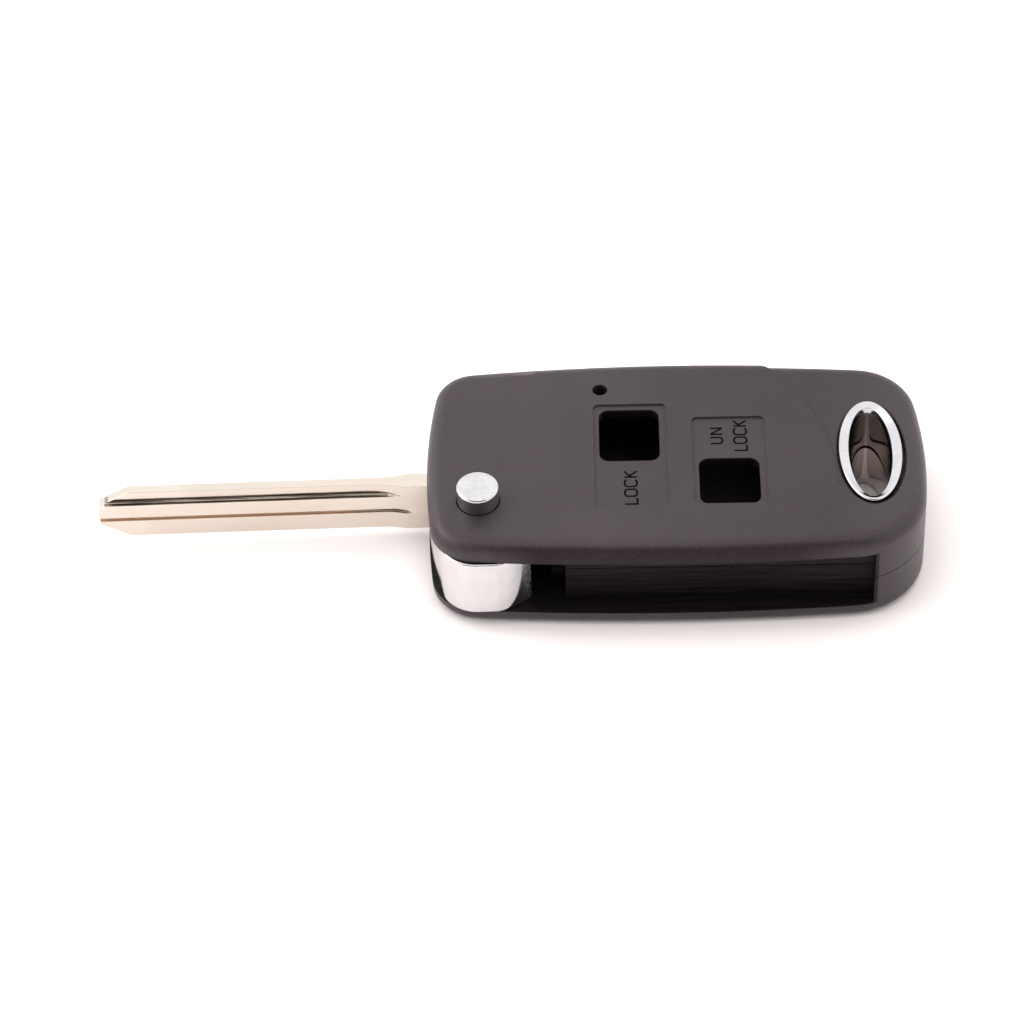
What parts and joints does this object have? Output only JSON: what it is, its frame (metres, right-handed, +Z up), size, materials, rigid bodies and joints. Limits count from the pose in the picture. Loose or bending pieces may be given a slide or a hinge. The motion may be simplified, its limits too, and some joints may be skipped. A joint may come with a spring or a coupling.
{
  "type": "flip key remote case",
  "caption": "Empty folding car key case with a swing-out blade, a round release button, two button windows and an oval key ring hole.",
  "frame": {"origin": "where the blade's pivot axis meets the underside of the case", "axes": "+X runs along the case to the key ring end, +Y to the side away from the blade slot, +Z up through the top face"},
  "size_m": [0.1139, 0.0366, 0.0176],
  "materials": {
    "case_plastic": "fine satin black moulded plastic",
    "chrome": "bright chrome plating",
    "blade_steel": "pale nickel plate with long milling marks",
    "spring_steel": "drawn wire",
    "inner_steel": "plain",
    "screw_steel": "black screws"
  },
  "bodies": {
    "casing": {"upper_casing": "case_plastic", "lower_casing": "case_plastic", "upper_liner": "chrome", "lower_liner": "chrome", "flip_spring": "spring_steel", "case_screw_1": "screw_steel", "case_screw_2": "screw_steel"},
    "blade": {"flip_head": "chrome", "blade": "blade_steel", "blade_pin": "inner_steel"},
    "button": {"release_button": "chrome", "catch": "inner_steel"}
  },
  "joints": [
    {"name": "blade_flip", "type": "hinge", "parent": "casing", "child": "blade", "pos_m": [0, 0, 0], "axis": [0, 0, 1], "range_deg": [0, 178.6]},
    {"name": "button_press", "type": "slide", "parent": "casing", "child": "button", "axis": [0, 0, -1], "range_m": [0, 0.0015], "stiffness_N_per_m": 600, "springref_m": -0.001, "deforming": ["flip_spring"]}
  ]
}
